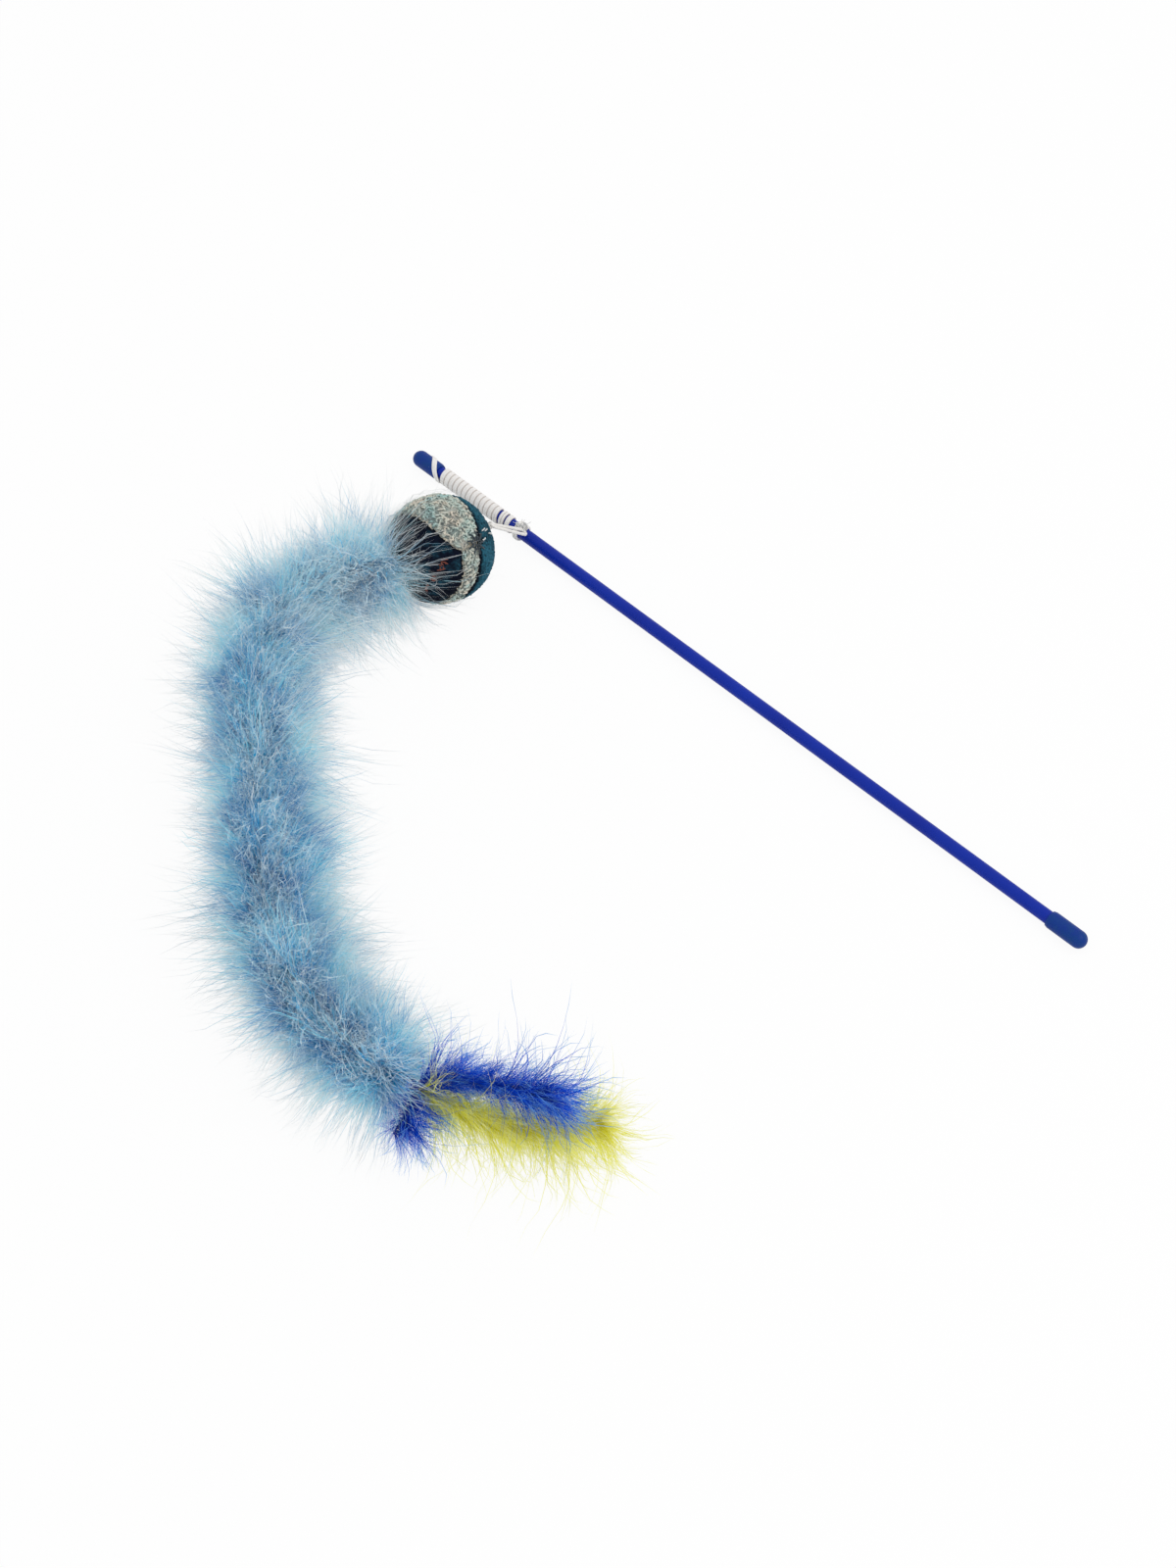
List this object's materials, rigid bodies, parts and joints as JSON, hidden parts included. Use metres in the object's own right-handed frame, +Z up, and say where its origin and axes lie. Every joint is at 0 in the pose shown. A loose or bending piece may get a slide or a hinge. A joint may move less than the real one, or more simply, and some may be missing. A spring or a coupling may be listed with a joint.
{
  "type": "cat teaser wand",
  "caption": "Cat teaser wand: plastic rod with soft end caps, elastic cord wound on its tip, fabric patchwork ball and a long feather boa with a dyed feather tail.",
  "frame": {"origin": "on the rod's axis, in the middle of the grip cap's straight wall", "axes": "+X along the rod and out of the grip end, +Y away from the boa, +Z up from the floor that the wand lies on"},
  "size_m": [0.4, 0.2929, 0.0583],
  "materials": {
    "rod_blue": "smooth glossy",
    "cap_blue": "soft satin",
    "elastic_white": "woven elastic",
    "ball_filling": "soft filling",
    "patch_light": "looped boucle",
    "patch_dark": "felted",
    "thread_dark": "twisted thread",
    "boa_string": "twisted string",
    "boa_feather": "fluffy barbs",
    "tail_thread": "wound thread",
    "feather_blue": "fluffy barbs",
    "feather_yellow": "fluffy barbs",
    "quill_blue": "smooth",
    "quill_yellow": "smooth"
  },
  "bodies": {
    "wand": {"rod": "rod_blue", "grip_cap": "cap_blue", "tip_cap": "cap_blue", "elastic_winding": "elastic_white"},
    "hitch": {"elastic_hitch": "elastic_white", "hitch_curl": "elastic_white"},
    "drop": {"core_cord": "elastic_white"},
    "ball": {"ball_core": "ball_filling", "ball_patch_light": "patch_light", "ball_patch_dark": "patch_dark", "gather_thread": "thread_dark"},
    "boa_1": {"boa_string_1": "boa_string", "boa_plume_1": "boa_feather"},
    "boa_2": {"boa_string_2": "boa_string", "boa_plume_2": "boa_feather"},
    "boa_3": {"boa_string_3": "boa_string", "boa_plume_3": "boa_feather"},
    "boa_4": {"boa_string_4": "boa_string", "boa_plume_4": "boa_feather"},
    "boa_5": {"boa_string_5": "boa_string", "boa_plume_5": "boa_feather"},
    "boa_6": {"boa_string_6": "boa_string", "boa_plume_6": "boa_feather"},
    "boa_7": {"boa_string_7": "boa_string", "boa_plume_7": "boa_feather"},
    "tail": {"tail_binding": "tail_thread", "blue_quill": "quill_blue", "blue_vane": "feather_blue", "yellow_quill": "quill_yellow", "yellow_vane": "feather_yellow", "tuft_quill": "quill_blue", "tuft_vane": "feather_blue"}
  },
  "joints": [
    {"name": "hitch_turn", "type": "hinge", "parent": "wand", "child": "hitch", "pos_m": [-0.31932, 0, 0], "axis": [1, 0, 0], "range_deg": [-90, 120]},
    {"name": "ball_swing", "type": "hinge", "parent": "hitch", "child": "drop", "pos_m": [-0.31825, -0.0196, 0.02107], "axis": [0, 0, -1], "range_deg": [-35, 35]},
    {"name": "ball_spin", "type": "hinge", "parent": "drop", "child": "ball", "pos_m": [-0.32478, -0.0458, 0.02107], "axis": [-0.2419, -0.9703, 0], "range_deg": [-180, 180]},
    {"name": "boa_bend_1", "type": "hinge", "parent": "drop", "child": "boa_1", "pos_m": [-0.33132, -0.072, 0.02107], "axis": [0, 0, 1], "range_deg": [-24, 28]},
    {"name": "boa_bend_2", "type": "hinge", "parent": "boa_1", "child": "boa_2", "pos_m": [-0.34706, -0.11196, 0.02107], "axis": [0, 0, -1], "range_deg": [-9, 28]},
    {"name": "boa_bend_3", "type": "hinge", "parent": "boa_2", "child": "boa_3", "pos_m": [-0.32904, -0.1515, 0.02107], "axis": [0, 0, 1], "range_deg": [-25, 14]},
    {"name": "boa_bend_4", "type": "hinge", "parent": "boa_3", "child": "boa_4", "pos_m": [-0.29606, -0.1812, 0.02107], "axis": [0, 0, -1], "range_deg": [-20, 20]},
    {"name": "boa_bend_5", "type": "hinge", "parent": "boa_4", "child": "boa_5", "pos_m": [-0.26155, -0.20914, 0.02107], "axis": [0, 0, 1], "range_deg": [-20, 20]},
    {"name": "boa_bend_6", "type": "hinge", "parent": "boa_5", "child": "boa_6", "pos_m": [-0.22565, -0.23523, 0.02107], "axis": [0, 0, -1], "range_deg": [-18, 22]},
    {"name": "boa_bend_7", "type": "hinge", "parent": "boa_6", "child": "boa_7", "pos_m": [-0.18473, -0.25176, 0.02107], "axis": [0, 0, 1], "range_deg": [-22, 17]},
    {"name": "tail_swing", "type": "hinge", "parent": "boa_7", "child": "tail", "pos_m": [-0.14066, -0.25099, 0.02107], "axis": [0, 0, 1], "range_deg": [-20, 25]}
  ]
}
